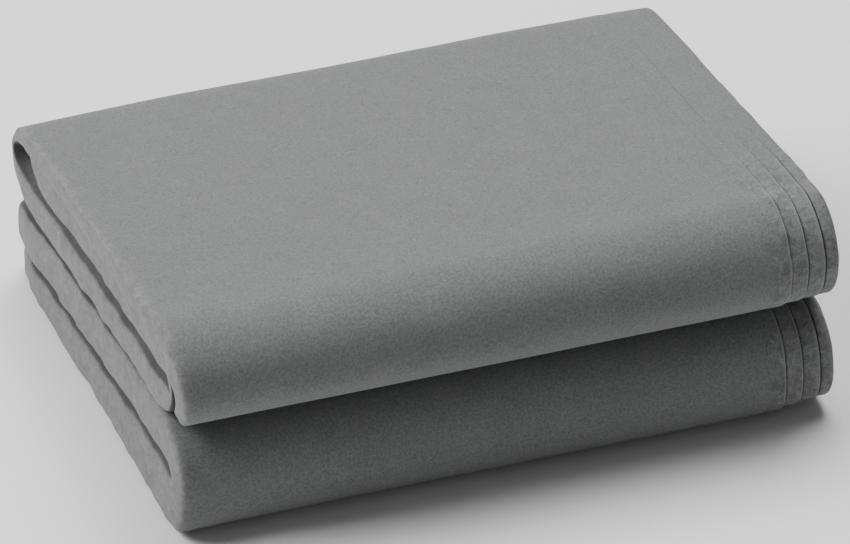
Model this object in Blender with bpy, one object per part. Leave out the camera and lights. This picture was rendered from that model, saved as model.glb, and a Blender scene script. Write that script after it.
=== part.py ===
"""Folded throw blanket.

One cloth is folded in four to a long strip, and the strip is turned over itself into two packets that lie
on each other. +X runs along the folded edges, from the closed fold ends (-X) to the hemmed ends (+X).
-Y is the front, where each packet shows its tall rounded fold. The cloth rests on the plane z = 0.

Every panel and fold is one lofted band: an outer and an inner curve in the YZ plane, carried along X. The
closed end is rounded, and the hemmed end steps down one ply at a time.
"""

from math import cos, pi, sin, sqrt

import bmesh
import bpy

# Driving dimensions, in metres
FOLDED_LENGTH = 0.3175
FOLDED_DEPTH = 0.228
CLEARANCE = 0.0003

# Loft of each panel, at the back and at the front, from the floor up
LOFTS = {
    "bottom_panel": (0.0150, 0.0180),
    "lower_flap": (0.0180, 0.0228),
    "lower_link_panel": (0.0042, 0.0048),
    "upper_link_panel": (0.0042, 0.0048),
    "upper_base_panel": (0.0170, 0.0194),
    "upper_flap": (0.0170, 0.0194),
    "top_panel": (0.0090, 0.0100),
}

# Folds
FRONT_FOLD_DEPTH = 0.030
BACK_FOLD_DEPTH = 0.022
FRONT_WALL = 0.0095
BACK_WALL = 0.0065
INNER_FOLD_PLAY = 0.001
CREASE_DEPTH = 0.003
CREASE_GAP = 0.001
LINK_FOLD_RECESS = 0.006
LINK_FOLD_REACH = 0.0035
LINK_TIP_SHARE = 0.25
CAVITY_DEPTH = 0.005
FLAP_NOSE = 0.012
FRONT_BULGE_SHARE = 0.42
EVEN_BULGE = 0.5
LOWER_CORNER_SQUARENESS = 3.2
ROUND_SQUARENESS = 2.0
CURVE_STEPS = 12
JOIN_SLOPE = 0.3
LOWER_HEM_STOP = 5

# Ends of the folded strip
NOSE_DEPTH = 0.007
NOSE_STEPS = 4
NOSE_FLAT_SHARE = 0.3
PLY = 0.0012
HEM_WIDTH = 0.010
HEM_SETBACKS = (0.0255, 0.0170, 0.0080)

# Colours, roughness
CLOTH_COLOURS = {
    "panel": (0.27, 0.275, 0.275, 1.0),
    "fold": (0.24, 0.245, 0.245, 1.0),
    "hem": (0.30, 0.305, 0.305, 1.0),
}
CLOTH_ROUGHNESS = 0.95

LEFT = -FOLDED_LENGTH / 2
RIGHT = FOLDED_LENGTH / 2
FRONT = -FOLDED_DEPTH / 2
BACK = FOLDED_DEPTH / 2
PANEL_FRONT = FRONT + FRONT_FOLD_DEPTH
PANEL_BACK = BACK - BACK_FOLD_DEPTH
ORDER = list(LOFTS)


def clear_scene():
    for item in list(bpy.data.objects):
        bpy.data.objects.remove(item, do_unlink=True)


def new_collection(name):
    collection = bpy.data.collections.new(name)
    bpy.context.scene.collection.children.link(collection)
    return collection


def cloth_material(name, kind):
    material = bpy.data.materials.new(name + "_cloth")
    material.use_nodes = True
    shader = material.node_tree.nodes["Principled BSDF"]
    shader.inputs["Base Color"].default_value = CLOTH_COLOURS[kind]
    shader.inputs["Roughness"].default_value = CLOTH_ROUGHNESS
    shader.inputs["Metallic"].default_value = 0.0
    return material


def level(panel, top, at_front):
    """Height of a panel's underside or top, at the back or front end of the panels."""
    height = 0.0
    for name in ORDER:
        if name == panel:
            return height + (LOFTS[name][at_front] if top else 0.0)
        height += LOFTS[name][at_front] + CLEARANCE
    raise KeyError(panel)


def height_at(panel, top, y):
    """The same height, anywhere along the panel's slope."""
    share = (PANEL_BACK - y) / (PANEL_BACK - PANEL_FRONT)
    back = level(panel, top, 0)
    return back + share * (level(panel, top, 1) - back)


def straight(panel, top, y_from, y_to):
    return [
        (y, height_at(panel, top, y))
        for y in (y_from + (y_to - y_from) * step / CURVE_STEPS for step in range(CURVE_STEPS + 1))
    ]


def power(value, squareness):
    return abs(value) ** (2.0 / squareness)


def bulge(root, reach, z_top, z_low, share, squareness=ROUND_SQUARENESS):
    """A rounded nose from z_top to z_low that reaches out from y = root. share is the height of its
    furthest point, and squareness sharpens the lower corner."""
    widest = z_low + share * (z_top - z_low)
    points = []
    for step in range(2 * CURVE_STEPS + 1):
        angle = pi / 2 - pi * step / (2 * CURVE_STEPS)
        corner = ROUND_SQUARENESS if angle >= 0 else squareness
        out = power(cos(angle), corner)
        up = power(sin(angle), corner) * (1 if angle >= 0 else -1)
        rise = z_top - widest if angle >= 0 else widest - z_low
        points.append((root + reach * out, widest + rise * up))
    return points


def offset(curve, distance):
    """The curve moved to the right of its direction of travel. An end that meets its neighbour on an
    upright plane stays on that plane."""
    moved = []
    last = len(curve) - 1
    for index, (y, z) in enumerate(curve):
        before = curve[max(index - 1, 0)]
        after = curve[min(index + 1, last)]
        run, rise = after[0] - before[0], after[1] - before[1]
        if index in (0, last) and abs(rise) < JOIN_SLOPE * abs(run):
            rise = 0.0
        length = sqrt(run * run + rise * rise)
        moved.append((y + distance * rise / length, z - distance * run / length))
    return moved


def between(first, second, share):
    return [
        (a[0] + (b[0] - a[0]) * share, a[1] + (b[1] - a[1]) * share) for a, b in zip(first, second)
    ]


def loft(collection, name, kind, sections):
    """One closed body through equal sections, each an x and a ring of (y, z) points."""
    mesh = bpy.data.meshes.new(name)
    build = bmesh.new()
    rings = [[build.verts.new((x, y, z)) for y, z in ring] for x, ring in sections]
    for ring, following in zip(rings, rings[1:]):
        for index in range(len(ring)):
            after = (index + 1) % len(ring)
            build.faces.new((ring[index], ring[after], following[after], following[index]))
    build.faces.new(rings[0][::-1])
    build.faces.new(rings[-1])
    bmesh.ops.recalc_face_normals(build, faces=build.faces)
    build.to_mesh(mesh)
    build.free()
    mesh.shade_smooth()
    mesh.set_sharp_from_angle(angle=pi / 5)
    mesh.materials.append(cloth_material(name, kind))
    item = bpy.data.objects.new(name, mesh)
    collection.objects.link(item)
    return item


def nose_sections(outer, inner):
    """The rounded closed end: the band thins towards its middle as it nears the end."""
    sections = []
    for step in range(NOSE_STEPS):
        run = step / NOSE_STEPS
        round_share = sqrt(1 - (1 - run) ** 2)
        width = NOSE_FLAT_SHARE + (1 - NOSE_FLAT_SHARE) * round_share
        ring = between(outer, inner, (1 - width) / 2)
        ring += between(outer, inner, (1 + width) / 2)[::-1]
        sections.append((LEFT + NOSE_DEPTH * run, ring))
    return sections


def band(collection, name, outer, inner, side, kind="panel"):
    """A panel or fold. side is 1 where the hems lie to the right of the outer curve's travel, -1 where
    they lie to its left, and 0 where the end isn't stepped."""
    sections = nose_sections(outer, inner)
    sections.append((LEFT + NOSE_DEPTH, outer + inner[::-1]))
    shown = outer
    for setback in HEM_SETBACKS if side else ():
        x = RIGHT - setback - HEM_WIDTH - CLEARANCE
        sections.append((x, shown + inner[::-1]))
        shown = offset(shown, side * PLY)
        sections.append((x, shown + inner[::-1]))
    sections.append((RIGHT, shown + inner[::-1]))
    return loft(collection, name, kind, sections)


def hems(collection, packet, outer, side):
    """The turned side hems and the edge of the quarter fold, one ply below each other."""
    names = ("outer_hem", "second_hem", "quarter_fold_edge")
    for number, (name, setback) in enumerate(zip(names, HEM_SETBACKS)):
        shown = offset(outer, side * (number * PLY + CLEARANCE * bool(number)))
        under = offset(outer, side * ((number + 1) * PLY - CLEARANCE))
        ring = shown + under[::-1]
        start = RIGHT - setback - HEM_WIDTH
        loft(collection, f"{packet}_{name}", "hem", [(start, ring), (RIGHT - setback, ring)])


def tongue(name, far, root, reach):
    """Outer and inner curves of a tucked flap, from its joined end to its rounded free end."""
    top = straight(name, True, far, root)
    low = straight(name, False, far, root)
    nose = bulge(root, reach, top[-1][1], low[-1][1], EVEN_BULGE)
    return top[:-1] + nose[:CURVE_STEPS], low[:-1] + nose[:CURVE_STEPS:-1]


def panel(collection, name, y_back=PANEL_BACK, outer_is_top=True, side=0):
    outer = straight(name, outer_is_top, y_back, PANEL_FRONT)
    inner = straight(name, not outer_is_top, y_back, PANEL_FRONT)
    return band(collection, name, outer, inner, side)


def front_fold_curves(z_top, z_low, inner_top, inner_low):
    root = PANEL_FRONT - CLEARANCE
    reach = FRONT_FOLD_DEPTH - CLEARANCE
    outer = bulge(root, -reach, z_top, z_low, FRONT_BULGE_SHARE, LOWER_CORNER_SQUARENESS)
    inner = bulge(root, FRONT_WALL - reach, inner_top, inner_low, FRONT_BULGE_SHARE)
    return outer, inner


def round_turn(collection, name, root, reach, z_top, z_low, z_meeting, shape, side):
    """A full turn between two neighbouring panels, closed up to a crease where they meet. shape is the
    bulge's share and squareness."""
    outer = bulge(root, reach, z_top, z_low, *shape)
    crease = CREASE_DEPTH if reach > 0 else -CREASE_DEPTH
    half = CREASE_GAP / 2
    inner = bulge(root, crease, z_meeting + half, z_meeting - half, EVEN_BULGE)
    return band(collection, name, outer, inner, side, kind="fold")


def link_quarter(collection, name, z_outer, z_middle):
    """One half of the small turn that joins the two link panels behind the cloth."""
    root = BACK - LINK_FOLD_RECESS + CLEARANCE
    tip = z_middle + (z_outer - z_middle) * LINK_TIP_SHARE
    outer = []
    for step in range(CURVE_STEPS + 1):
        angle = pi / 2 * (1 - step / CURVE_STEPS)
        outer.append((root + LINK_FOLD_REACH * cos(angle), tip + (z_outer - tip) * sin(angle)))
    inner = [(y, z_middle) for y, z in outer]
    return band(collection, name, outer, inner, side=0, kind="fold")


def build_lower_packet(collection):
    panel(collection, "bottom_panel", outer_is_top=False, side=1)
    panel(collection, "lower_link_panel", BACK - LINK_FOLD_RECESS)
    band(collection, "lower_flap", *tongue("lower_flap", PANEL_BACK, PANEL_FRONT, -FLAP_NOSE), side=0)

    outer, inner = front_fold_curves(
        level("lower_link_panel", True, 1),
        0.0,
        level("lower_link_panel", False, 1),
        level("bottom_panel", True, 1),
    )
    band(collection, "lower_front_fold", outer, inner, side=-1, kind="fold")
    hems(collection, "lower", outer[:-LOWER_HEM_STOP], -1)

    round_turn(
        collection,
        "lower_back_fold",
        PANEL_BACK + CLEARANCE,
        BACK_FOLD_DEPTH - CLEARANCE,
        level("lower_flap", True, 0),
        0.0,
        level("bottom_panel", True, 0) + CLEARANCE / 2,
        (EVEN_BULGE, LOWER_CORNER_SQUARENESS),
        side=1,
    )
    top = height_at("lower_link_panel", True, BACK - LINK_FOLD_RECESS)
    low = height_at("lower_link_panel", False, BACK - LINK_FOLD_RECESS)
    link_quarter(collection, "lower_link_fold", low, top)


def build_upper_packet(collection):
    panel(collection, "top_panel", side=-1)
    panel(collection, "upper_base_panel")
    panel(collection, "upper_link_panel", BACK - LINK_FOLD_RECESS, outer_is_top=False)
    flap_tip = BACK - BACK_WALL - CAVITY_DEPTH
    flap_root = min(flap_tip - FLAP_NOSE, PANEL_BACK)
    flap = tongue("upper_flap", PANEL_FRONT, flap_root, flap_tip - flap_root)
    band(collection, "upper_flap", *flap, side=0)

    outer, inner = front_fold_curves(
        level("top_panel", True, 1),
        level("upper_link_panel", False, 1),
        level("top_panel", False, 1),
        level("upper_link_panel", True, 1),
    )
    band(collection, "upper_front_fold", outer, inner, side=-1, kind="fold")
    hems(collection, "upper", straight("top_panel", True, PANEL_BACK, PANEL_FRONT) + outer, -1)

    round_turn(
        collection,
        "upper_inner_fold",
        PANEL_FRONT - CLEARANCE,
        CLEARANCE + INNER_FOLD_PLAY + FRONT_WALL - FRONT_FOLD_DEPTH,
        level("upper_flap", True, 1),
        level("upper_base_panel", False, 1),
        level("upper_flap", False, 1) - CLEARANCE / 2,
        (FRONT_BULGE_SHARE, ROUND_SQUARENESS),
        side=0,
    )

    root = PANEL_BACK + CLEARANCE
    reach = BACK_FOLD_DEPTH - CLEARANCE
    outer = bulge(
        root, reach, level("top_panel", True, 0), level("upper_base_panel", False, 0), EVEN_BULGE
    )
    inner = bulge(
        root,
        reach - BACK_WALL,
        level("top_panel", False, 0),
        level("upper_base_panel", True, 0),
        EVEN_BULGE,
    )
    band(collection, "upper_back_fold", outer, inner, side=1, kind="fold")
    top = height_at("upper_link_panel", True, BACK - LINK_FOLD_RECESS)
    low = height_at("upper_link_panel", False, BACK - LINK_FOLD_RECESS)
    link_quarter(collection, "upper_link_fold", top, low)


def main():
    clear_scene()
    blanket = new_collection("folded_throw_blanket")
    build_lower_packet(blanket)
    build_upper_packet(blanket)


main()
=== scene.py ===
"""Folded throw blanket: three stretches of one folded cloth, their hem stitches, and the stage.

The throw is folded in four to a long strip, and the strip is turned over itself into two packets. Each
stretch of cloth is swept along the strip's path through the frame's panels and folds. Its section is the
real one: a single sheet, folded in four, with two hemmed edges and the centre fold at its open end.
"""

import bpy
import numpy as np
from bpy.props import FloatProperty, FloatVectorProperty, IntProperty, PointerProperty
from bpy.types import Operator, Panel, PropertyGroup
from mathutils import Euler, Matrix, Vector


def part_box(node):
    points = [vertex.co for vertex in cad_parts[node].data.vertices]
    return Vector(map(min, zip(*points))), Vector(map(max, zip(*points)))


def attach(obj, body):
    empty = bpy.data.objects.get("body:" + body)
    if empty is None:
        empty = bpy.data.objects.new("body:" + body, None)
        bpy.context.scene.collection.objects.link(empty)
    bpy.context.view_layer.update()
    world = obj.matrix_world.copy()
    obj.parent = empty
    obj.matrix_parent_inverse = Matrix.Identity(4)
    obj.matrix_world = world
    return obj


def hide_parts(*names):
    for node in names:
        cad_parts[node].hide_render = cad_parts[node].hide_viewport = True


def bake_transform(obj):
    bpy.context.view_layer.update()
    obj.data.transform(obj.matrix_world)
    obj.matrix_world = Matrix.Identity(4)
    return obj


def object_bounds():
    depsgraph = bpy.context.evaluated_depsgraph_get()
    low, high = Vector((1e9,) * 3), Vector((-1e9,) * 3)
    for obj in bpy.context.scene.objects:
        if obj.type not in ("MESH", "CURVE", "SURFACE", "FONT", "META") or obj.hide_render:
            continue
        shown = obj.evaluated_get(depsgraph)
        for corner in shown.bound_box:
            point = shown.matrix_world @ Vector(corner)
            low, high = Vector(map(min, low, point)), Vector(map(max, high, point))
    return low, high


bl_info = {
    "name": "Folded Throw Blanket",
    "version": (1, 0, 0),
    "blender": (4, 5, 0),
    "location": "View3D > Sidebar > Throw",
    "description": "Builds a brushed fleece throw folded into two packets",
    "category": "Object",
}

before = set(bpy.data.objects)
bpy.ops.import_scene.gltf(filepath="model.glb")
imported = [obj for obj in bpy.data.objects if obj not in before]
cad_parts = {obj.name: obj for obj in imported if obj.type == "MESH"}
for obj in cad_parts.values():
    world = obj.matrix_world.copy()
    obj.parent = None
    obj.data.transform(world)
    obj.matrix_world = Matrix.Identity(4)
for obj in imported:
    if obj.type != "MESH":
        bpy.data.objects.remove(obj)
CAD_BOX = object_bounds()

MM = 0.001
UPPER, LOWER = "upper_packet", "lower_packet"
AIM_Y = -3.65 * MM  # the settled throw's middle, front to back
SEAT = 0.3 * MM  # gap that neighbouring layers keep
PANEL_END = 2e-5  # how near a vertex lies to a panel's end to count as on it
FINE = 96  # steps of a turn that is cut into parts
FRONT_BELLY = 0.42  # how far up a front fold reaches furthest, as a share of its height
FLOOR_SQUARENESS = 3.2  # a fold that lies on the floor is pressed flat beneath; 2 is round


def mm(*values):
    return tuple(value * MM for value in values)


LINK_RECESS = 12 * MM  # how far the thin upper link stays back from the closed end
SLIT = mm(-0.6, -0.6)  # the closed end of a ply is pinched, which leaves a thin dark gap
PUFF = mm(1.1, 1.1)  # the closed end of a loose ply bulges


# ------------------------------------------------------------------ sizes read from the frame


def low(node):
    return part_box(node)[0]


def high(node):
    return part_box(node)[1]


LEFT, RIGHT = CAD_BOX[0].x, CAD_BOX[1].x
FRONT, BACK = CAD_BOX[0].y, CAD_BOX[1].y
PANEL_FRONT, PANEL_BACK = low("top_panel").y, high("top_panel").y
FRONT_REACH, BACK_REACH = FRONT - PANEL_FRONT, BACK - PANEL_BACK
LINK_BACK, LINK_TIP = high("upper_link_panel").y, high("upper_link_fold").y
OUTER_SETBACK = RIGHT - high("upper_outer_hem").x
SECOND_SETBACK = RIGHT - high("upper_second_hem").x
CENTRE_FOLD_SETBACK = RIGHT - high("upper_quarter_fold_edge").x


def face(node, top):
    """The top or underside of a panel as (height at y = 0, slope)."""
    panel = np.array([v.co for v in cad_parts[node].data.vertices])
    panel = panel[panel[:, 0] < 0]
    heights = []
    for y in (panel[:, 1].min(), panel[:, 1].max()):
        at_end = panel[abs(panel[:, 1] - y) < PANEL_END][:, 2]
        heights.append((y, at_end.max() if top else at_end.min()))
    (y0, z0), (y1, z1) = heights
    slope = (z1 - z0) / (y1 - y0)
    return z0 - slope * y0, slope


def raised(line, distance):
    return line[0] + distance, line[1]


def height(line, y):
    return line[0] + line[1] * y


def eased(line, at_front, at_back):
    """A line whose two ends are moved up or down, for cloth that has settled unevenly."""
    front, back = height(line, PANEL_FRONT) + at_front, height(line, PANEL_BACK) + at_back
    slope = (back - front) / (PANEL_BACK - PANEL_FRONT)
    return front - slope * PANEL_FRONT, slope


TOP_FACE = face("top_panel", True)
TOP_UNDERSIDE = eased(face("top_panel", False), -5.0 * MM, -2.0 * MM)
BASE_FACE = eased(face("upper_base_panel", True), -4.0 * MM, -2.5 * MM)
BASE_UNDERSIDE = face("upper_base_panel", False)
UPPER_LINK_FACE, UPPER_LINK_UNDERSIDE = face("upper_link_panel", True), face("upper_link_panel", False)
BOTTOM_FACE = eased(face("bottom_panel", True), 6.0 * MM, -1.5 * MM)
BOTTOM_UNDERSIDE = face("bottom_panel", False)
# the lower link lies loose and puffy on a thin tucked flap
LOWER_LINK_FACE, LOWER_LINK_UNDERSIDE = face("lower_link_panel", True), raised(BOTTOM_FACE, 3.6 * MM)
UPPER_FLAP_FACE, UPPER_FLAP_UNDERSIDE = raised(TOP_UNDERSIDE, -SEAT), raised(BASE_FACE, SEAT)
LOWER_FLAP_FACE, LOWER_FLAP_UNDERSIDE = raised(LOWER_LINK_UNDERSIDE, -SEAT), raised(BOTTOM_FACE, SEAT)
MEETING = tuple((a + b) / 2 for a, b in zip(UPPER_LINK_UNDERSIDE, LOWER_LINK_FACE))
# from the plane where the packets meet to either link layer
HALF_GAP = (UPPER_LINK_UNDERSIDE[0] - LOWER_LINK_FACE[0]) / 2


# ------------------------------------------------------------------ what a user would change


def length(name, description, default):
    return FloatProperty(name=name, description=description, default=default, min=0.0, unit="LENGTH")


def ratio(name, description, default):
    return FloatProperty(name=name, description=description, default=default)


def colour(name, description, default):
    return FloatVectorProperty(
        name=name, description=description, default=default, size=3, min=0.0, max=1.0, subtype="COLOR"
    )


def linear(hex_colour):
    """An sRGB hex colour as linear light."""
    parts = [int(hex_colour[i : i + 2], 16) / 255 for i in (0, 2, 4)]
    return tuple(c / 12.92 if c <= 0.04045 else ((c + 0.055) / 1.055) ** 2.4 for c in parts)


class ThrowCloth(PropertyGroup):
    width: length("Throw width", "Width of the throw before it is folded in four", 4 * (RIGHT - LEFT))
    closed_end: length("Closed end", "How deep the rounded closed end of a thick stretch is", 5.5 * MM)
    hem_step: length("Hem step", "How far the cloth steps down at each hemmed edge", 0.85 * MM)
    fold_wall: length("Fold wall", "Thickness of the four plies where they turn at the back", 3.2 * MM)
    sag: length("Sag", "How far the cloth lies from its flat shape", 1.5 * MM)
    pucker: length("Pucker", "Height of the small creases along the closed end", 0.9 * MM)
    hem_pucker: length("Hem pucker", "Height of the gathers along the hems", 0.45 * MM)
    hem_gap: length("Hem gap", "Depth of the shadow gap beside each hemmed edge", 1.2 * MM)
    row: length("Row spacing", "Distance between rows of the mesh along the strip", 2.3 * MM)
    lower_rise: ratio("Lower rise", "How much taller the lower packet stands than the frame", 1.06)
    upper_rise: ratio("Upper rise", "How much taller the upper packet stands than the frame", 1.04)
    open_rise: ratio("Open end rise", "How much more that is at the open end", 0.027)
    spread: ratio("Spread", "How much deeper the soft folds are than the frame", 1.032)
    skew: ratio("Skew", "How far the ends slant, as x per y", -0.031)
    front_rise: length("Front rise", "How much higher the packets meet at the front", 5.0 * MM)
    seed: IntProperty(name="Seed", description="Chooses the pattern of sags and creases", default=7)


class ThrowStitches(PropertyGroup):
    pitch: length("Pitch", "Distance from one hem stitch to the next", 3.2 * MM)
    stitch: length("Stitch", "Length of a hem stitch", 2.4 * MM)
    thread: length("Thread", "Diameter of the sewing thread", 0.45 * MM)
    inset: length("Inset", "Distance from the hemmed edge to its stitches", 8.0 * MM)


class ThrowFinish(PropertyGroup):
    fleece: colour("Fleece", "Brushed surface", linear("767876"))
    shade: colour("Fleece shade", "Hollows between the brushed fibres", linear("5f6161"))
    # the fold edge colour is a painted highlight on folded ends and hemmed edges
    edge: colour("Fold edge", "Fibres that catch the light on a folded edge", linear("8e8f8b"))
    # the crease colour is painted shade in the creases between plies and beside hemmed edges
    crease_shade_colour: colour("Crease", "Nap pressed flat between two plies", linear("2e2f2f"))
    thread: colour("Thread", "Sewing thread of the hems", linear("6c6e6d"))
    floor: colour("Floor", "Pale studio floor", linear("f4f4f4"))


# ------------------------------------------------------------------ the strip's path


def turn(y, reach, upper, lower, widest=0.5, low_squareness=2.0, steps=48):
    """A rounded turn from the upper line to the lower one, which reaches out from y. widest is how far up
    it reaches furthest, as a share of its height."""
    z_top, z_low = height(upper, y), height(lower, y)
    angle = np.linspace(np.pi / 2, -np.pi / 2, steps + 1)
    power = np.where(angle >= 0, 1.0, 2.0 / low_squareness)
    z_widest = z_low + widest * (z_top - z_low)
    rise = np.where(angle >= 0, z_top - z_widest, z_widest - z_low)
    out = np.abs(np.cos(angle)) ** power
    up = np.sign(np.sin(angle)) * np.abs(np.sin(angle)) ** power
    return np.column_stack([y + reach * out, z_widest + rise * up])


def panel(outer, inner, y_from, y_to, steps=60):
    """A flat stretch, as the curves of its outer and inner face."""
    y = np.linspace(y_from, y_to, steps + 1)
    return [np.column_stack([y, height(line, y)]) for line in (outer, inner)]


def stretch(curves, closed=(0, 0), opened=(0, 0), hems=(1, 1), outer_flare=(0, 0), inner_flare=(0, 0)):
    """Rows of one stretch of the strip. Each pair is a value at its start and end: how far its closed and
    open ends are set back, how plainly its hems show, and how far the outer and inner ply bulge at the
    closed end."""
    pairs = closed, opened, outer_flare, inner_flare, hems
    return np.column_stack([*curves, *(np.linspace(*pair, len(curves[0])) for pair in pairs)])


def smoothed(values, distance, spread):
    """values along a path, each the weighted mean of its neighbours within about spread."""
    even = np.linspace(0, distance[-1], max(int(distance[-1] / (0.4 * MM)), 8))
    step = even[1] - even[0]
    reach = int(3 * spread / step)
    weights = np.exp(-0.5 * (np.arange(-reach, reach + 1) * step / spread) ** 2)
    weights /= weights.sum()
    out = np.empty_like(values)
    for column in range(values.shape[1]):
        line = np.interp(even, distance, values[:, column])
        before = 2 * line[0] - line[reach:0:-1]
        after = 2 * line[-1] - line[-2 : -reach - 2 : -1]
        padded = np.concatenate([before, line, after])
        out[:, column] = np.interp(distance, even, np.convolve(padded, weights, "valid"))
    return out


def along(points):
    gaps = np.linalg.norm(np.diff(points, axis=0), axis=1)
    return np.concatenate([[0.0], np.cumsum(gaps)])


def strip(stretches, spacing):
    """Even rows along a path of stretches, and how far along the strip's middle each row lies."""
    softness = 2.2 * MM
    rows = np.vstack(stretches)
    distance = along((rows[:, :2] + rows[:, 2:4]) / 2)
    keep = np.concatenate([[True], np.diff(distance) > 1e-6])
    rows, distance = rows[keep], distance[keep]
    rows[:, :4] = smoothed(rows[:, :4], distance, softness)
    rows[:, 4:] = smoothed(rows[:, 4:], distance, 4 * softness)
    # the outer curve sets the spacing on tight turns
    pace = np.maximum(np.gradient(distance), np.gradient(along(rows[:, :2])))
    pace = np.concatenate([[0.0], np.cumsum((pace[1:] + pace[:-1]) / 2)])
    even = np.linspace(0, pace[-1], int(pace[-1] / spacing) + 1)
    out = np.column_stack([np.interp(even, pace, column) for column in rows.T])
    return out, np.interp(even, pace, distance)


def upper_stretches(wall):
    """Flap nose, flap, inner fold, base, back fold, top, and the tall front fold down to the link."""
    flap_nose = 12 * MM
    flap_root = high("upper_flap").y - flap_nose
    nose = turn(flap_root, flap_nose, UPPER_FLAP_FACE, UPPER_FLAP_UNDERSIDE, steps=FINE)
    half = FINE // 2
    inner_reach = 0.65 * (low("upper_inner_fold").y - PANEL_FRONT)
    inner_fold = (
        turn(PANEL_FRONT, inner_reach, UPPER_FLAP_FACE, BASE_UNDERSIDE, FRONT_BELLY),
        turn(PANEL_FRONT, inner_reach + wall, UPPER_FLAP_UNDERSIDE, BASE_FACE),
    )
    back_fold = (
        turn(PANEL_BACK, BACK_REACH, TOP_FACE, BASE_UNDERSIDE)[::-1],
        turn(PANEL_BACK, BACK_REACH - wall, TOP_UNDERSIDE, BASE_FACE)[::-1],
    )
    # the hems are pressed flat on the top's rear, and show from here to the front
    hems_from = 0.3 * PANEL_FRONT
    # the front fold's wall is as thick as leaves room for the inner fold
    front_fold = (
        turn(PANEL_FRONT, FRONT_REACH, TOP_FACE, UPPER_LINK_UNDERSIDE, FRONT_BELLY, steps=FINE),
        turn(PANEL_FRONT, inner_reach - 1.0 * MM, TOP_UNDERSIDE, UPPER_LINK_FACE, FRONT_BELLY, steps=FINE),
    )
    foot = 12  # steps of the front fold that curl in under the packet
    shoulder, front, curl = (
        [curve[part] for curve in front_fold]
        for part in (slice(half + 1), slice(half, -foot), slice(-foot - 1, None))
    )
    flap = panel(UPPER_FLAP_FACE, UPPER_FLAP_UNDERSIDE, flap_root, PANEL_FRONT)
    base = panel(BASE_UNDERSIDE, BASE_FACE, PANEL_FRONT, PANEL_BACK)
    rear_top = panel(TOP_FACE, TOP_UNDERSIDE, PANEL_BACK, hems_from)
    front_top = panel(TOP_FACE, TOP_UNDERSIDE, hems_from, PANEL_FRONT, 24)
    flap_end = nose[half - 1 :: -1], nose[half + 1 :]
    return [
        stretch(flap_end, mm(5.5, 3.5), mm(6, 3), outer_flare=SLIT, inner_flare=SLIT),
        stretch(flap, mm(3.5, 3.5), mm(3, 3), outer_flare=SLIT, inner_flare=SLIT),
        stretch(inner_fold, mm(3.5, 2), mm(3, 2), outer_flare=mm(-0.5, 3.6), inner_flare=SLIT),
        stretch(base, mm(2, 1), mm(2, 1), outer_flare=mm(3.6, 3), inner_flare=SLIT),
        stretch(back_fold, mm(1, 0), mm(1, 0), hems=(0.6, 0.1), inner_flare=SLIT),
        stretch(rear_top, hems=(0, 0), inner_flare=SLIT),
        stretch(front_top, hems=(0, 1), inner_flare=SLIT),
        stretch(shoulder, mm(0, 1), mm(0, 1), inner_flare=SLIT),
        stretch(front, mm(1, 3), mm(1, 2), inner_flare=SLIT),
        stretch(curl, (3 * MM, LINK_RECESS), mm(2, 2), inner_flare=SLIT),
    ]


def link_stretches():
    """The upper layer from the front to the link fold, the fold, and the lower layer back to the front."""
    reach = LINK_TIP - LINK_BACK
    upper = panel(UPPER_LINK_UNDERSIDE, UPPER_LINK_FACE, PANEL_FRONT, LINK_BACK, 80)
    fold = (
        turn(LINK_BACK, 0.3 * reach, UPPER_LINK_UNDERSIDE, LOWER_LINK_FACE),
        turn(LINK_BACK, reach, UPPER_LINK_FACE, LOWER_LINK_UNDERSIDE),
    )
    lower = panel(LOWER_LINK_FACE, LOWER_LINK_UNDERSIDE, LINK_BACK, PANEL_FRONT, 80)
    return [
        stretch(upper, (LINK_RECESS, LINK_RECESS), mm(2, 2)),
        stretch(fold, mm(1.5, 1.5), mm(1.5, 1.5), hems=(0.3, 0.3)),
        stretch(lower, mm(1, 1.5), mm(2, 1), outer_flare=mm(1, 0), inner_flare=PUFF),
    ]


def lower_stretches(wall):
    """Front fold, bottom, back fold, flap and flap nose."""
    nose_reach = low("lower_flap").y - PANEL_FRONT
    nose = turn(PANEL_FRONT, nose_reach, LOWER_FLAP_FACE, LOWER_FLAP_UNDERSIDE, steps=FINE)
    half = FINE // 2
    inner_reach = low("upper_inner_fold").y - PANEL_FRONT + 2.5 * MM
    front_fold = (
        turn(PANEL_FRONT, FRONT_REACH, LOWER_LINK_FACE, BOTTOM_UNDERSIDE, FRONT_BELLY, FLOOR_SQUARENESS),
        turn(PANEL_FRONT, inner_reach, LOWER_LINK_UNDERSIDE, BOTTOM_FACE, FRONT_BELLY),
    )
    back_fold = (
        turn(PANEL_BACK, BACK_REACH, LOWER_FLAP_FACE, BOTTOM_UNDERSIDE, 0.5, FLOOR_SQUARENESS)[::-1],
        turn(PANEL_BACK, BACK_REACH - 1.6 * wall, LOWER_FLAP_UNDERSIDE, BOTTOM_FACE)[::-1],
    )
    bottom = panel(BOTTOM_UNDERSIDE, BOTTOM_FACE, PANEL_FRONT, PANEL_BACK)
    flap = panel(LOWER_FLAP_FACE, LOWER_FLAP_UNDERSIDE, PANEL_BACK, PANEL_FRONT)
    return [
        stretch(front_fold, mm(1.5, 0), mm(1, 0), inner_flare=PUFF),
        stretch(bottom, mm(0, 1), inner_flare=PUFF),
        stretch(back_fold, mm(1, 9), mm(0, 2)),
        stretch(flap, mm(9, 9), mm(2, 2)),
        stretch((nose[:half], nose[:half:-1]), mm(9, 9), mm(2, 4)),
    ]


# ------------------------------------------------------------------ the folded section


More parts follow.
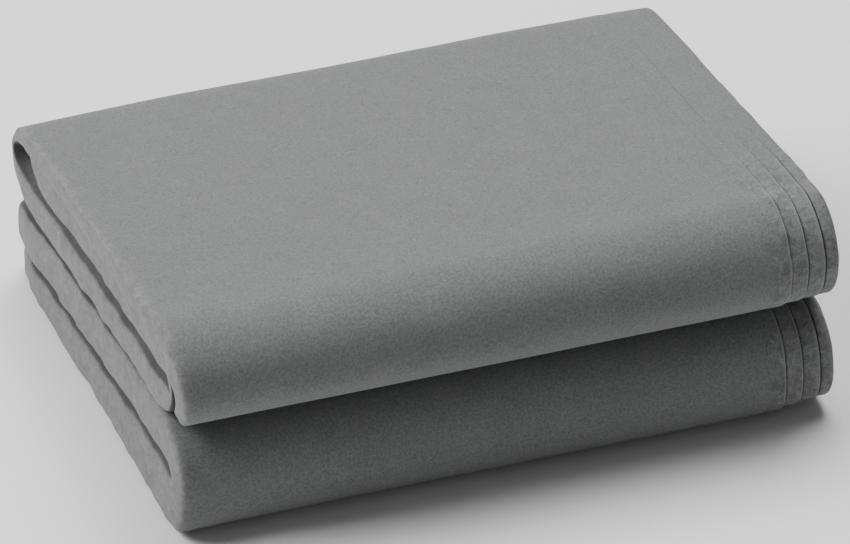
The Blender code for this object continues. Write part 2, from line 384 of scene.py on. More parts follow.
def ripple(points, size, seed):
    """Smooth noise from -1 to 1 whose bumps are about size across."""
    table = np.random.RandomState(seed).uniform(-1, 1, (32, 32, 32))
    scaled = points / size + 64.0
    cell = np.floor(scaled).astype(int)
    part = scaled - cell
    part = part * part * (3 - 2 * part)
    total = np.zeros(points.shape[:-1])
    for corner in np.ndindex(2, 2, 2):
        weight = np.ones(points.shape[:-1])
        for axis in range(3):
            weight *= part[..., axis] if corner[axis] else 1 - part[..., axis]
        index = (cell + np.array(corner)) % 32
        total += weight * table[index[..., 0], index[..., 1], index[..., 2]]
    return total


def ease(value):
    value = np.clip(value, 0, 1)
    return value * value * (3 - 2 * value)


def lerp(a, b, share):
    return a + (b - a) * share


def nose_points(count, squareness):
    """Points round a closed end, each as (how far out, how far down), from 0 to 1."""
    for angle in np.linspace(0, np.pi, count)[1:-1]:
        across = np.cos(angle)
        yield float(np.sin(angle) ** squareness), 0.5 - 0.5 * np.sign(across) * abs(across) ** squareness


# where a section has its points, in mm back from a hemmed edge: close together beside the edge
OUTER_FACE = (0.25, 0.6, 1.2, 2.2, 3.6, 5.2, 6.8, 7.6, 8.0, 8.4, 9.2, 10.8, 12.6, 15, 18, 22, 27, 33, 40)
BESIDE_EDGE = (-1.4, -0.9, -0.5, -0.1)
FIRST_SPAN, SECOND_SPAN = 50, 56


class Section:
    """The outline of one sheet folded in four, row by row. x runs to the open end, and depth is measured
    from the outer ply's face, both in metres. Both are (rows, points)."""

    def __init__(self, rows, distance, cloth, outer_gap=1.0):
        outer, inner = rows[:, :2], rows[:, 2:4]
        self.rows, self.distance, self.cloth, self.outer_gap = rows, distance, cloth, outer_gap
        self.thick = np.maximum(np.linalg.norm(outer - inner, axis=1), 0.05 * MM)[:, None]
        wave = np.column_stack([distance, 0 * distance, 0 * distance])
        # the sway dies out at both ends, where the next stretch of cloth takes over
        self.calm = ease(np.minimum(distance, distance[-1] - distance) / (10 * MM))[:, None]
        sway = ripple(wave, 45 * MM, cloth.seed)[:, None] * self.calm * 0.6 * MM
        drift = ripple(wave, 60 * MM, cloth.seed + 1)[:, None] * self.calm * 0.7 * MM
        self.left = LEFT + rows[:, 4:5] + 0.7 * MM + sway
        self.end = RIGHT - rows[:, 5:6] - 0.8 * MM + drift
        self.flare = rows[:, 6:7], rows[:, 7:8]
        self.show = rows[:, 8:9]
        self.nose = np.minimum(cloth.closed_end, 0.4 * self.thick)
        self.open_nose = np.minimum(0.6 * cloth.closed_end, 0.42 * self.thick)
        self.step = np.minimum(np.maximum(cloth.hem_step * self.show, 0.12 * MM), 0.12 * self.thick)
        self.first = self.end - (OUTER_SETBACK + 0.8 * drift)
        self.second = self.end - (SECOND_SETBACK + 0.3 * drift)
        self.third = self.end - CENTRE_FOLD_SETBACK
        self.gap = np.minimum(0.012 * self.thick, 0.3 * self.step)
        self.x, self.depth, self.kind, self.hem = [], [], [], []

    def add(self, x, depth, kind=0.0, hem=0.0):
        """One point of the section in every row. kind is how far it is a folded end, which also sets its
        painted highlight. The last value is how far it is a hemmed edge, which gets a painted highlight, and
        where it is negative it lies in the gap beside one, which gets painted shade."""
        shape = self.thick.shape[0], 1
        for store, value in zip((self.x, self.depth, self.kind, self.hem), (x, depth, kind, hem)):
            store.append(np.broadcast_to(value, shape).astype(float))

    def under_first(self, x):
        start = self.first - 50 * MM
        return self.thick / 4 + (self.step - self.thick / 4) * ease((x - start) / (46 * MM))

    def under_second(self, x):
        start = self.second - 55 * MM
        return self.thick / 2 + (2 * self.step - self.thick / 2) * ease((x - start) / (50 * MM))

    def under_third(self, x):
        return (self.under_second(x) + self.thick) / 2

    def groove(self, x, edge):
        """The narrow shadow gap right beside a hemmed or folded edge."""
        share = np.clip(1 - abs(x - edge + 0.1 * MM) / (1.1 * MM), 0, 1)
        return np.minimum(self.cloth.hem_gap, 0.09 * self.thick) * share * self.show

    def beside(self, edge, under, backs, strength=1.0):
        """The face that a hemmed edge lies on, with the shadow gap right beside the edge."""
        for back in backs:
            x = edge - back * MM
            depth = under(np.minimum(x, edge)) + self.gap + strength * self.groove(x, edge)
            # a negative last value paints shade on the face in the gap beside the edge
            self.add(x, depth, hem=-strength if -0.6 < back < 1 else 0.0)

    def outline(self):
        """Adds the points once round the folded sheet."""
        gap, thick, nose = self.gap, self.thick, self.nose
        body = self.left + nose
        # outer ply's face, from its hem to the closed end, with a painted highlight on the hemmed edge
        for back in OUTER_FACE:
            self.add(self.first - back * MM, 0.0, hem=1.0 if back < 1 else 0.0)
        for share in np.linspace(0, 1, 60)[1:]:
            self.add(lerp(self.first - OUTER_FACE[-1] * MM, body, share), 0.0)
        # closed end, outside: kind sets its puckers and its painted highlight
        for out, side in nose_points(19, 0.45):
            self.add(body - nose * out, thick * side, kind=out)
        # innermost face, from the closed end to the open one
        tip = self.end - self.open_nose
        for share in (0.0, 0.02, 0.06, 0.15, 0.3, 0.5, 0.7, 0.85, 0.93, 0.98, 1.0):
            self.add(lerp(body, tip, share), thick)
        # centre fold, outside, with half as strong a painted highlight
        top = 2 * self.step + gap
        lower = top + 0.7 * self.step
        for out, side in nose_points(11, 0.8):
            self.add(tip + self.open_nose * out, thick + (lower - thick) * side, kind=0.5 * out)
        # third ply's face: its end fold, a soft crease, then back under the second hem, with painted shade
        # beside the fold's edge and a painted highlight on it
        self.add(tip, lower)
        self.add(lerp(tip, self.third, 0.5), lower)
        for back in BESIDE_EDGE:
            x = self.third - back * MM
            self.add(x, lower + self.groove(x, self.third), hem=-1.0 if back > -0.6 else 0.0)
        self.add(self.third - 0.3 * MM, top + 0.1 * self.step, hem=1.0)
        self.add(self.third - 0.7 * MM, top, hem=0.8)
        for share in (0.25, 0.5, 0.75):
            self.add(lerp(self.third, self.second, share), top)
        self.beside(self.second, self.under_second, (*BESIDE_EDGE, 0.4, 1.2, 4, 12, 25, 40, SECOND_SPAN))
        inner_nose = 0.45 * nose
        inner_body = self.left + nose + 0.9 * MM + inner_nose
        for share in (0.4, 0.8):
            x = lerp(self.second - SECOND_SPAN * MM, inner_body, share)
            self.add(x, self.under_second(x) + gap)
        # inner turn, inside
        self.add(inner_body - 0.3 * inner_nose, thick / 2)
        # second ply's underside
        for share in (0.2, 0.6):
            x = lerp(inner_body, self.second - SECOND_SPAN * MM, share)
            self.add(x, self.under_second(x) - gap)
        for back in (SECOND_SPAN, 40, 25, 12, 4, 0.8):
            x = self.second - back * MM
            self.add(x, self.under_second(x) - gap)
        # second hem's edge, with a painted highlight
        edge = self.under_first(self.first) + gap
        fall = self.under_second(self.second) - gap - edge
        self.add(self.second - 0.12 * MM, edge + 0.85 * fall, hem=1.0)
        self.add(self.second, edge + 0.5 * fall, hem=1.0)
        self.add(self.second - 0.12 * MM, edge + 0.15 * fall, hem=1.0)
        for back in (0.35, 1.0, 2.2, 3.8, 5.4, 7.0):
            self.add(self.second - back * MM, edge, hem=1.0 if back < 1 else 0.0)
        backs = (*BESIDE_EDGE, 0.4, 1.2, 4, 12, 25, 36, FIRST_SPAN)
        self.beside(self.first, self.under_first, backs, self.outer_gap)
        for share in (0.4, 0.8):
            x = lerp(self.first - FIRST_SPAN * MM, inner_body, share)
            self.add(x, self.under_first(x) + gap)
        # inner turn, outside
        for angle in np.linspace(0, np.pi, 7):
            down = 0.5 - 0.5 * np.cos(angle)
            self.add(inner_body - inner_nose * np.sin(angle), thick / 4 + gap + (thick / 2 - 2 * gap) * down)
        # third ply's underside
        for share in (0.3, 0.7, 0.88, 0.96):
            x = lerp(inner_body, tip, share)
            self.add(x, self.under_third(x) - gap)
        # centre fold, inside
        self.add(lerp(self.third, self.end, 0.45), self.under_third(self.third))
        for share in (0.96, 0.88, 0.7, 0.3, 0.03):
            x = lerp(body, tip, share)
            self.add(x, self.under_third(x) + gap)
        # closed end, inside
        for angle in np.linspace(0, np.pi, 7)[1:-1]:
            up = 0.5 + 0.5 * np.cos(angle)
            self.add(body - 0.7 * nose * np.sin(angle), thick / 4 - gap + (thick / 2 + 2 * gap) * up)
        # outer ply's underside, and its hemmed edge with a painted highlight
        for share in (0.03, 0.3, 0.6):
            x = lerp(body, self.first, share)
            self.add(x, self.under_first(x) - gap)
        for back in (FIRST_SPAN, 36, 25, 12, 4, 0.8):
            x = self.first - back * MM
            self.add(x, self.under_first(x) - gap)
        fall = self.under_first(self.first) - gap
        self.add(self.first - 0.12 * MM, 0.85 * fall, hem=1.0)
        self.add(self.first, 0.5 * fall, hem=1.0)
        self.add(self.first - 0.1 * MM, 0.15 * fall, hem=1.0)
        return self

    def placed(self, inset):
        """Vertex positions (rows, points, 3), and for each point the painted highlight on folded and hemmed
        edges, how far it is rubbed, and the painted shade in creases between plies and beside hems."""
        x, depth = np.hstack(self.x), np.hstack(self.depth)
        kind, hem = np.hstack(self.kind), np.hstack(self.hem)
        share = np.clip(depth / self.thick, 0, 1)[..., None]
        outer, inner = self.rows[:, None, :2], self.rows[:, None, 2:4]
        place = outer + (inner - outer) * share
        normal = (outer - inner) / self.thick[..., None]
        cloth = self.cloth
        near_closed = ease(1 - (x - self.left) / (11 * MM))
        outward = self.flare[0] * (1 - share[..., 0]) - self.flare[1] * share[..., 0]
        place = place + normal * (near_closed * outward)[..., None]
        s = np.broadcast_to(self.distance[:, None], x.shape)
        band = np.stack([s + 0.35 * depth, 0.35 * x, 0.6 * depth], axis=-1)
        creases = ripple(band, 13 * MM, cloth.seed + 2) + 0.5 * ripple(band, 6 * MM, cloth.seed + 3)
        x = x + kind * creases * cloth.pucker * self.calm
        # gathers and the stitched channel of the outer hem
        to_edge = self.first - x
        gather = ripple(np.stack([s, 0.25 * x, 0 * x], axis=-1), 6.5 * MM, cloth.seed + 4)
        in_hem = ease((14 * MM - to_edge) / (6 * MM)) * (depth < 0.4 * self.thick)
        raised_hem = ease(1 - abs(to_edge - 0.5 * inset) / (0.6 * inset))
        channel = np.exp(-(((to_edge - inset) / (0.9 * MM)) ** 2))
        face_on = (depth < 1e-7) * self.show
        lift = face_on * (0.22 * MM * raised_hem - 0.15 * MM * channel)
        lift = lift + in_hem * gather * cloth.hem_pucker * self.show
        place = place + normal * lift[..., None]
        band = ease((x - self.first + 12 * MM) / (8 * MM)) * self.show
        rubbed = np.maximum(ease(1 - (x - self.left) / (7 * MM)), band)
        # a face that has no bulge or pinch is free; near the closed end a covered face gets painted shade
        # where it meets the next ply
        covered = np.where(share[..., 0] < 0.5, abs(self.flare[0]), abs(self.flare[1])) / (0.5 * MM)
        to_face = (0.5 - abs(share[..., 0] - 0.5)) * self.thick
        painted_crease_shade = ease(covered) * ease(1.4 - to_face / (0.8 * MM)) * ease(1 - (x - self.left) / (9 * MM))
        values = {
            # painted highlight on folded ends and hemmed edges
            "painted_edge_highlight": np.clip(0.5 * kind + hem * self.show, 0, 1),
            "rubbed": rubbed,
            # painted shade in the creases between plies and in the gaps beside hemmed edges
            "painted_crease_shade": np.maximum(painted_crease_shade, np.clip(-hem * self.show, 0, 1)),
        }
        return np.concatenate([x[..., None], place], axis=-1), values


def laid(points, cloth):
    """The sags of cloth that lies under its own weight. The floor and the plane where the packets meet
    stay flat."""
    meeting = height(MEETING, points[..., 1])
    top = CAD_BOX[1].z
    above = np.clip((points[..., 2] - meeting) / (top - meeting), 0, 1)
    below = np.clip(points[..., 2] / meeting, 0, 1)
    share = np.where(points[..., 2] > meeting, np.sqrt(above), np.sin(np.pi * below))
    moved = points.copy()
    clear_of_hinge = ease((BACK - points[..., 1]) / (14 * MM))
    # each axis with how wide and how strong its sags are
    for axis, size, strength in ((2, 95 * MM, 1.0), (1, 80 * MM, 0.8), (0, 70 * MM, 0.5)):
        field = ripple(points, size, cloth.seed + 10 + axis)
        field = field + 0.35 * ripple(points, 0.4 * size, cloth.seed + 20 + axis)
        if axis == 1:
            field = field * clear_of_hinge
        moved[..., axis] += strength * cloth.sag * share * field
    moved[..., 2] = np.maximum(moved[..., 2], 0)
    return settled(moved, cloth)


def settled(points, cloth):
    """Soft cloth stands a little taller and deeper than the frame, most at the open end. The packets meet
    higher at the front than at the back, and the ends lie a little aslant. The plane where the packets
    meet stays a plane, and the back stays where the hinge line is."""
    x, y, z = (points[..., axis] for axis in range(3))
    meeting = height(MEETING, y)
    above = np.maximum(z - meeting, 0)
    grown = cloth.upper_rise * (1 + cloth.open_rise * x / RIGHT)
    z = np.minimum(z, meeting) * cloth.lower_rise + above * grown
    meeting, top = meeting * cloth.lower_rise, CAD_BOX[1].z * cloth.upper_rise
    share = np.where(z < meeting, z / meeting, 1 - (z - meeting) / (top - meeting))
    z = z + cloth.front_rise * (BACK - y) / (BACK - FRONT) * np.clip(share, 0, 1)
    y = BACK - (BACK - y) * cloth.spread
    return np.stack([x + cloth.skew * (y - AIM_Y), y, z], axis=-1)


def sheet_mesh(name, points, layers, material):
    """A closed mesh through equal rings of points."""
    rows, ring = points.shape[:2]
    index = np.arange(rows * ring).reshape(rows, ring)
    a, b = index[:-1], index[1:]
    quads = np.stack([a, np.roll(a, -1, 1), np.roll(b, -1, 1), b], axis=-1).reshape(-1, 4)
    flat = points.reshape(-1, 3)
    spans = flat[quads[:, 2]] - flat[quads[:, 0]], flat[quads[:, 3]] - flat[quads[:, 1]]
    volume = (np.cross(*spans) * flat[quads].mean(1)).sum()
    faces = quads.tolist() + [index[0, ::-1].tolist(), index[-1].tolist()]
    if volume < 0:
        faces = [face_corners[::-1] for face_corners in faces]
    mesh = bpy.data.meshes.new(name)
    mesh.from_pydata(flat.tolist(), [], faces)
    mesh.shade_smooth()
    mesh.set_sharp_from_angle(angle=np.radians(75))
    for label, values in layers.items():
        layer = mesh.attributes.new(label, "FLOAT", "POINT")
        layer.data.foreach_set("value", values.astype(np.float32).ravel())
    mesh.materials.append(material)
    piece = bpy.data.objects.new(name, mesh)
    bpy.context.scene.collection.objects.link(piece)
    return piece


def parted(points):
    """Keeps each link layer on its own side of the plane where the packets meet, up to the link fold."""
    meeting = height(MEETING, points[..., 1])
    side = np.sign((points[..., 2] - meeting).mean(1))[:, None]
    layer = (points[..., 1].mean(1) < LINK_BACK - 0.5 * MM)[:, None]
    clear = meeting + side * np.maximum(side * (points[..., 2] - meeting), HALF_GAP)
    out = points.copy()
    out[..., 2] = np.where(layer, clear, points[..., 2])
    return out


def make_cloth(name, stretches, spacing=None, crosses_hinge=False, outer_gap=1.0):
    """Sweeps the folded section along a path. Returns the piece, its strip length and its hem line."""
    cloth = bpy.context.scene.throw_cloth
    stitches = bpy.context.scene.throw_stitches
    rows, distance = strip(stretches, spacing or cloth.row)
    section = Section(rows, distance, cloth, outer_gap).outline()
    points, layers = section.placed(stitches.inset)
    if crosses_hinge:
        points = parted(points)
    points = laid(points, cloth)
    piece = sheet_mesh(name, points, layers, fleece_material())
    outer_face = np.hstack(section.x)[0, : len(OUTER_FACE)]
    seam = int(np.argmin(abs(section.first[0, 0] - stitches.inset - outer_face)))
    return piece, float(distance[-1]), points[:, seam]


# ------------------------------------------------------------------ materials


def add_node(tree, kind, settings=None, **inputs):
    """A node with its settings and inputs. An input is named, or numbered as i0, and one that is a socket
    is linked."""
    node = tree.nodes.new(kind)
    for key, value in (settings or {}).items():
        setattr(node, key, value)
    for key, value in inputs.items():
        numbered = key[0] == "i" and key[1:].isdigit()
        socket = node.inputs[int(key[1:]) if numbered else key.replace("_", " ")]
        if isinstance(value, bpy.types.NodeSocket):
            tree.links.new(value, socket)
        else:
            socket.default_value = value
    return node


def new_material(name):
    material = bpy.data.materials.new(name)
    material.use_nodes = True
    material.node_tree.nodes.clear()
    return material, material.node_tree


def rgba(value):
    return (*value, 1.0)


def per_metre(size):
    """A texture scale whose pattern is about size across."""
    return 1.0 / size


def fleece_material():
    """Brushed fleece: a raised nap with fine flecks and soft cloudy patches, a painted highlight on folded
    and hemmed edges, and painted shade in the creases between plies.
    """
    if "brushed_polyester_fleece" in bpy.data.materials:
        return bpy.data.materials["brushed_polyester_fleece"]
    finish = bpy.context.scene.throw_finish
    material, tree = new_material("brushed_polyester_fleece")
    coords = add_node(tree, "ShaderNodeTexCoord").outputs["Object"]
    # flecks of the nap, about a millimetre across
    flecks = add_node(
        tree, "ShaderNodeTexNoise", Vector=coords, Scale=per_metre(1.1 * MM), Detail=4.0, Roughness=0.65
    ).outputs["Fac"]
    # cloudy patches where the nap lies another way
    clouds = add_node(
        tree, "ShaderNodeTexNoise", Vector=coords, Scale=per_metre(14 * MM), Detail=3.0, Roughness=0.55
    ).outputs["Fac"]
    fleck_share = add_node(
        tree, "ShaderNodeMapRange", Value=flecks, From_Min=0.34, From_Max=0.66, To_Min=0.0, To_Max=1.0
    ).outputs["Result"]
    base = add_node(
        tree,
        "ShaderNodeMix",
        {"data_type": "RGBA"},
        i0=fleck_share,
        i6=rgba(finish.shade),
        i7=rgba(finish.fleece),
    ).outputs[2]
    cloud_value = add_node(
        tree, "ShaderNodeMapRange", Value=clouds, From_Min=0.3, From_Max=0.7, To_Min=0.965, To_Max=1.035
    ).outputs["Result"]
    clouded = add_node(tree, "ShaderNodeHueSaturation", Color=base, Value=cloud_value).outputs["Color"]
    # rubbed patches a few millimetres across, on the gathered hems and the closed end
    rubs = add_node(
        tree,
        "ShaderNodeTexNoise",
        Vector=coords,
        Scale=per_metre(5 * MM),
        Detail=4.0,
        Roughness=0.7,
        Distortion=0.8,
    ).outputs["Fac"]
    rub_value = add_node(
        tree, "ShaderNodeMapRange", Value=rubs, From_Min=0.35, From_Max=0.65, To_Min=0.72, To_Max=1.28
    ).outputs["Result"]
    rubbed_colour = add_node(tree, "ShaderNodeHueSaturation", Color=clouded, Value=rub_value).outputs["Color"]
    rubbed = add_node(tree, "ShaderNodeAttribute", {"attribute_name": "rubbed"}).outputs["Fac"]
    worn = add_node(
        tree, "ShaderNodeMix", {"data_type": "RGBA"}, i0=rubbed, i6=clouded, i7=rubbed_colour
    ).outputs[2]
    # painted highlight: folded ends and hemmed edges are made paler, where the light catches them
    edge = add_node(tree, "ShaderNodeAttribute", {"attribute_name": "painted_edge_highlight"}).outputs["Fac"]
    highlight_share = add_node(tree, "ShaderNodeMath", {"operation": "MULTIPLY"}, i0=edge, i1=0.45).outputs[0]
    highlighted = add_node(
        tree, "ShaderNodeMix", {"data_type": "RGBA"}, i0=highlight_share, i6=worn, i7=rgba(finish.edge)
    ).outputs[2]
    # painted shade: darker in the creases between plies and in the gaps beside hemmed edges
    painted_crease_shade = add_node(tree, "ShaderNodeAttribute", {"attribute_name": "painted_crease_shade"}).outputs["Fac"]
    crease_shade_share = add_node(
        tree, "ShaderNodeMath", {"operation": "MULTIPLY"}, i0=painted_crease_shade, i1=0.75
    ).outputs[0]
    colour_out = add_node(
        tree, "ShaderNodeMix", {"data_type": "RGBA"}, i0=crease_shade_share, i6=highlighted, i7=rgba(finish.crease_shade_colour)
    ).outputs[2]
    # nap relief: fibres over small pills
    pills = add_node(
        tree, "ShaderNodeTexNoise", Vector=coords, Scale=per_metre(3.5 * MM), Detail=2.0, Roughness=0.5
    ).outputs["Fac"]
    relief = add_node(
        tree, "ShaderNodeMath", {"operation": "MULTIPLY_ADD"}, i0=pills, i1=0.6, i2=flecks
    ).outputs[0]
    bump = add_node(tree, "ShaderNodeBump", Strength=0.5, Distance=0.35 * MM, Height=relief).outputs["Normal"]
    shader = add_node(
        tree,
        "ShaderNodeBsdfPrincipled",
        Base_Color=colour_out,
        Roughness=0.92,
        Specular_IOR_Level=0.15,
        Sheen_Weight=0.12,
        Sheen_Roughness=0.6,
        Normal=bump,
    )
    add_node(tree, "ShaderNodeOutputMaterial", Surface=shader.outputs[0])
    return material


def thread_material():
    """Spun polyester sewing thread: a fine twist along a dull yarn."""
    if "spun_polyester_thread" in bpy.data.materials:
        return bpy.data.materials["spun_polyester_thread"]
    finish = bpy.context.scene.throw_finish
    material, tree = new_material("spun_polyester_thread")
    coords = add_node(tree, "ShaderNodeTexCoord").outputs["Object"]
    twist = add_node(
        tree,
        "ShaderNodeTexWave",
        {"bands_direction": "DIAGONAL"},
        Vector=coords,
        Scale=per_metre(0.5 * MM) / 20,
        Distortion=1.0,
    ).outputs["Fac"]
    dark = tuple(0.8 * c for c in finish.thread)
    base = add_node(
        tree, "ShaderNodeMix", {"data_type": "RGBA"}, i0=twist, i6=rgba(dark), i7=rgba(finish.thread)
    ).outputs[2]
    bump = add_node(tree, "ShaderNodeBump", Strength=0.3, Distance=0.05 * MM, Height=twist).outputs["Normal"]
    shader = add_node(
        tree, "ShaderNodeBsdfPrincipled", Base_Color=base, Roughness=0.6, Sheen_Weight=0.1, Normal=bump
    )
    add_node(tree, "ShaderNodeOutputMaterial", Surface=shader.outputs[0])
    return material


def floor_material():
    """Matt studio paper with the faintest mottling."""
    finish = bpy.context.scene.throw_finish
    material, tree = new_material("matt_studio_paper")
    coords = add_node(tree, "ShaderNodeTexCoord").outputs["Object"]
    mottle = add_node(
        tree, "ShaderNodeTexNoise", Vector=coords, Scale=per_metre(60 * MM), Detail=2.0
    ).outputs["Fac"]
    dim = tuple(0.985 * c for c in finish.floor)
    base = add_node(
        tree, "ShaderNodeMix", {"data_type": "RGBA"}, i0=mottle, i6=rgba(dim), i7=rgba(finish.floor)
    ).outputs[2]
    shader = add_node(tree, "ShaderNodeBsdfPrincipled", Base_Color=base, Roughness=0.9)
    add_node(tree, "ShaderNodeOutputMaterial", Surface=shader.outputs[0])
    return material


# ------------------------------------------------------------------ hem stitches


def stitch_tree(material):
    """Geometry Nodes: one thread float every pitch along a hem line."""
    tree = bpy.data.node_groups.new("hem_stitches", "GeometryNodeTree")
    face_in = tree.interface
    face_in.new_socket("Geometry", in_out="OUTPUT", socket_type="NodeSocketGeometry")
    face_in.new_socket("Geometry", in_out="INPUT", socket_type="NodeSocketGeometry")
    for name in ("Pitch", "Stitch Length", "Thread Diameter"):
        socket = face_in.new_socket(name, in_out="INPUT", socket_type="NodeSocketFloat")
        socket.subtype = "DISTANCE"
        socket.min_value = 0.0
    group = add_node(tree, "NodeGroupInput").outputs
    spots = add_node(
        tree, "GeometryNodeCurveToPoints", {"mode": "LENGTH"}, Curve=group["Geometry"], Length=group["Pitch"]
    )
    float_mesh = add_node(tree, "GeometryNodeMeshUVSphere", Segments=8, Rings=6, Radius=0.5).outputs["Mesh"]
    size = add_node(
        tree,
        "ShaderNodeCombineXYZ",
        X=group["Thread Diameter"],
        Y=group["Thread Diameter"],
        Z=group["Stitch Length"],
    ).outputs[0]
    placed = add_node(
        tree,
        "GeometryNodeInstanceOnPoints",
        Points=spots.outputs["Points"],
        Instance=float_mesh,
        Rotation=spots.outputs["Rotation"],
        Scale=size,
    ).outputs[0]
    real = add_node(tree, "GeometryNodeRealizeInstances", Geometry=placed).outputs[0]
    smooth = add_node(tree, "GeometryNodeSetShadeSmooth", Geometry=real).outputs[0]
    done = add_node(tree, "GeometryNodeSetMaterial", Geometry=smooth, Material=material).outputs[0]
    add_node(tree, "NodeGroupOutput", Geometry=done)
    return tree


def make_stitches(name, line, body, tree):
    """Hem stitches along a line of points, as one plain mesh on a body."""
    stitches = bpy.context.scene.throw_stitches
    curve = bpy.data.curves.new(name + "_line", "CURVE")
    curve.dimensions = "3D"
    spline = curve.splines.new("POLY")
    spline.points.add(len(line) - 1)
    for point, place in zip(spline.points, line):
        point.co = (*place, 1.0)
    holder = bpy.data.objects.new(name + "_line", curve)
    bpy.context.scene.collection.objects.link(holder)
    modifier = holder.modifiers.new("stitches", "NODES")
    modifier.node_group = tree
    values = {"Pitch": stitches.pitch, "Stitch Length": stitches.stitch, "Thread Diameter": stitches.thread}
    for socket in tree.interface.items_tree:
        if socket.in_out == "INPUT" and socket.name in values:
            modifier[socket.identifier] = values[socket.name]
    graph = bpy.context.evaluated_depsgraph_get()
    mesh = bpy.data.meshes.new_from_object(holder.evaluated_get(graph), depsgraph=graph)
    if not mesh.polygons:
        raise RuntimeError(f"{name}: no stitch was made")
    bpy.data.objects.remove(holder)
    mesh.name = name
    piece = bpy.data.objects.new(name, mesh)
    bpy.context.scene.collection.objects.link(piece)
    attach(piece, body)
    return piece


# ------------------------------------------------------------------ operators

made = {}


class THROW_OT_upper_packet(Operator):
    """Builds the cloth of the upper packet: tucked flap, base, back fold, top and tall front fold"""

    bl_idname = "throw.upper_packet"
    bl_label = "Upper packet cloth"

    def execute(self, context):
        cloth = context.scene.throw_cloth
        stretches = upper_stretches(cloth.fold_wall)
        piece, strip_length, line = make_cloth("upper_packet_cloth", stretches, outer_gap=0.35)
        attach(piece, UPPER)
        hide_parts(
            "upper_flap",
            "upper_inner_fold",
            "upper_base_panel",
            "upper_back_fold",
            "top_panel",
            "upper_front_fold",
            "upper_outer_hem",
            "upper_second_hem",
            "upper_quarter_fold_edge",
        )
        made[piece.name] = piece, strip_length, line
        return {"FINISHED"}


class THROW_OT_link(Operator):
    """Builds the two link layers between the packets and the small fold that joins them at the back"""

    bl_idname = "throw.link"
    bl_label = "Link cloth"

    def execute(self, context):
        piece, strip_length, line = make_cloth("link_cloth", link_stretches(), 2.6 * MM, crosses_hinge=True)
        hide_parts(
            "upper_link_panel", "upper_link_fold", "lower_link_panel", "lower_link_fold"
        )
        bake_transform(piece)
        made[piece.name] = piece, strip_length, line
        return {"FINISHED"}


class THROW_OT_lower_packet(Operator):
    """Builds the cloth of the lower packet: front fold, bottom, back fold and tucked flap"""

    bl_idname = "throw.lower_packet"
    bl_label = "Lower packet cloth"

    def execute(self, context):
        cloth = context.scene.throw_cloth
        piece, strip_length, line = make_cloth("lower_packet_cloth", lower_stretches(cloth.fold_wall))
        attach(piece, LOWER)
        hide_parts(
            "lower_front_fold",
            "bottom_panel",
            "lower_back_fold",
            "lower_flap",
            "lower_outer_hem",
            "lower_second_hem",
            "lower_quarter_fold_edge",
        )
        made[piece.name] = piece, strip_length, line
        return {"FINISHED"}


class THROW_OT_hem_stitches(Operator):
    """Sews the outer hem of both packets"""

    bl_idname = "throw.hem_stitches"
    bl_label = "Hem stitches"

    def execute(self, context):
        tree = stitch_tree(thread_material())
        for body in (UPPER, LOWER):
            piece, strip_length, line = made[body + "_cloth"]
            thread = make_stitches(body + "_hem_stitches", line, body, tree)
        piece, strip_length, line = made["link_cloth"]
        return {"FINISHED"}


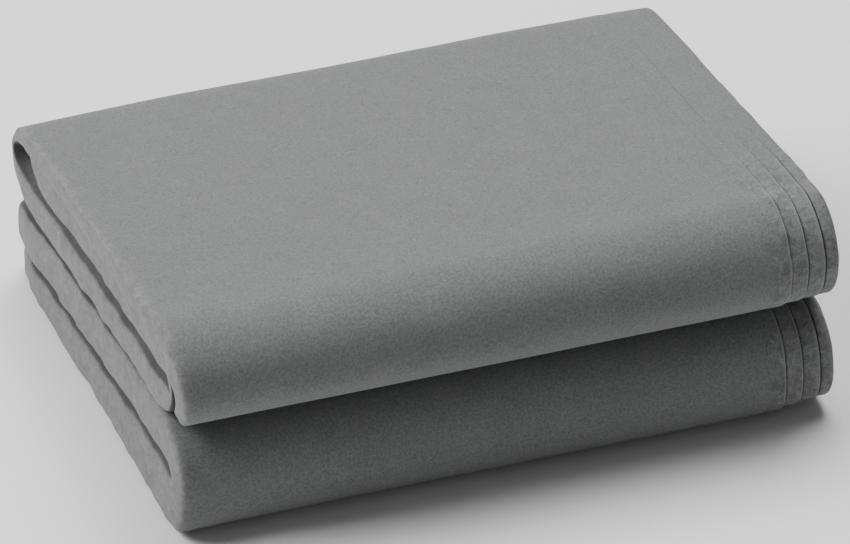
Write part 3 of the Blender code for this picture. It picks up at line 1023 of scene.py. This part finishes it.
class THROW_OT_stage(Operator):
    """Sets the pale floor, the soft lights and the camera"""

    bl_idname = "throw.stage"
    bl_label = "Stage"

    def execute(self, context):
        scene = context.scene
        mesh = bpy.data.meshes.new("studio_floor")
        half = 4.0
        corners = [(-half, -half, 0), (half, -half, 0), (half, half, 0), (-half, half, 0)]
        mesh.from_pydata(corners, [], [(0, 1, 2, 3)])
        mesh.materials.append(floor_material())
        floor = bpy.data.objects.new("studio_floor", mesh)
        floor.location.z = -0.1 * MM
        scene.collection.objects.link(floor)

        world = bpy.data.worlds.new("studio_air")
        world.use_nodes = True
        world.node_tree.nodes["Background"].inputs["Color"].default_value = (1.0, 1.0, 1.0, 1.0)
        world.node_tree.nodes["Background"].inputs["Strength"].default_value = 0.11
        scene.world = world

        centre = Vector((0, 0, 0.04))
        for name, place, size, energy in (
            ("left_softbox", (-2.1, 0.9, 2.2), 1.8, 114.0),
            ("overhead_softbox", (0.5, 0.8, 2.2), 1.4, 62.0),
            ("front_fill", (0.1, -2.6, 0.3), 1.6, 6.0),
        ):
            light = bpy.data.lights.new(name, "AREA")
            light.shape = "SQUARE"
            light.size = size
            light.energy = energy
            lamp = bpy.data.objects.new(name, light)
            lamp.location = place
            lamp.rotation_euler = (centre - Vector(place)).to_track_quat("-Z", "Y").to_euler()
            scene.collection.objects.link(lamp)

        azimuth, elevation, roll, distance = np.radians(-20.56), np.radians(34.87), np.radians(1.127), 2.7752
        target = Vector((0.0024, AIM_Y, 0.0374))
        away = Vector(
            (
                np.sin(azimuth) * np.cos(elevation),
                -np.cos(azimuth) * np.cos(elevation),
                np.sin(elevation),
            )
        )
        lens = bpy.data.cameras.new("studio_camera")
        lens.sensor_width = 36.0
        lens.lens = 254.0
        lens.clip_start, lens.clip_end = 0.1, 20.0
        camera = bpy.data.objects.new("studio_camera", lens)
        camera.location = target + away * distance
        turned = (-away).to_track_quat("-Z", "Y") @ Euler((0, 0, roll)).to_quaternion()
        camera.rotation_mode = "QUATERNION"
        camera.rotation_quaternion = turned
        scene.collection.objects.link(camera)
        scene.camera = camera
        return {"FINISHED"}


STEPS = (
    THROW_OT_upper_packet,
    THROW_OT_link,
    THROW_OT_lower_packet,
    THROW_OT_hem_stitches,
    THROW_OT_stage,
)


class THROW_PT_sidebar(Panel):
    """Lists the steps that build the throw, and their sizes and colours"""

    bl_label = "Folded throw"
    bl_idname = "THROW_PT_sidebar"
    bl_space_type = "VIEW_3D"
    bl_region_type = "UI"
    bl_category = "Throw"

    def draw(self, context):
        layout = self.layout
        for step in STEPS:
            layout.operator(step.bl_idname)
        for group in (context.scene.throw_cloth, context.scene.throw_stitches, context.scene.throw_finish):
            box = layout.box()
            for name in group.__annotations__:
                box.prop(group, name)


GROUPS = {"throw_cloth": ThrowCloth, "throw_stitches": ThrowStitches, "throw_finish": ThrowFinish}


def register():
    for kind in (*GROUPS.values(), *STEPS, THROW_PT_sidebar):
        bpy.utils.register_class(kind)
    for name, kind in GROUPS.items():
        setattr(bpy.types.Scene, name, PointerProperty(type=kind))


def unregister():
    for name in GROUPS:
        delattr(bpy.types.Scene, name)
    for kind in (THROW_PT_sidebar, *STEPS, *GROUPS.values()):
        bpy.utils.unregister_class(kind)


def main():
    register()
    for step in STEPS:
        name = step.bl_idname.split(".")[1]
        if getattr(bpy.ops.throw, name)() != {"FINISHED"}:
            raise RuntimeError(f"{step.bl_label} wasn't finished")


if __name__ == "__main__":
    main()
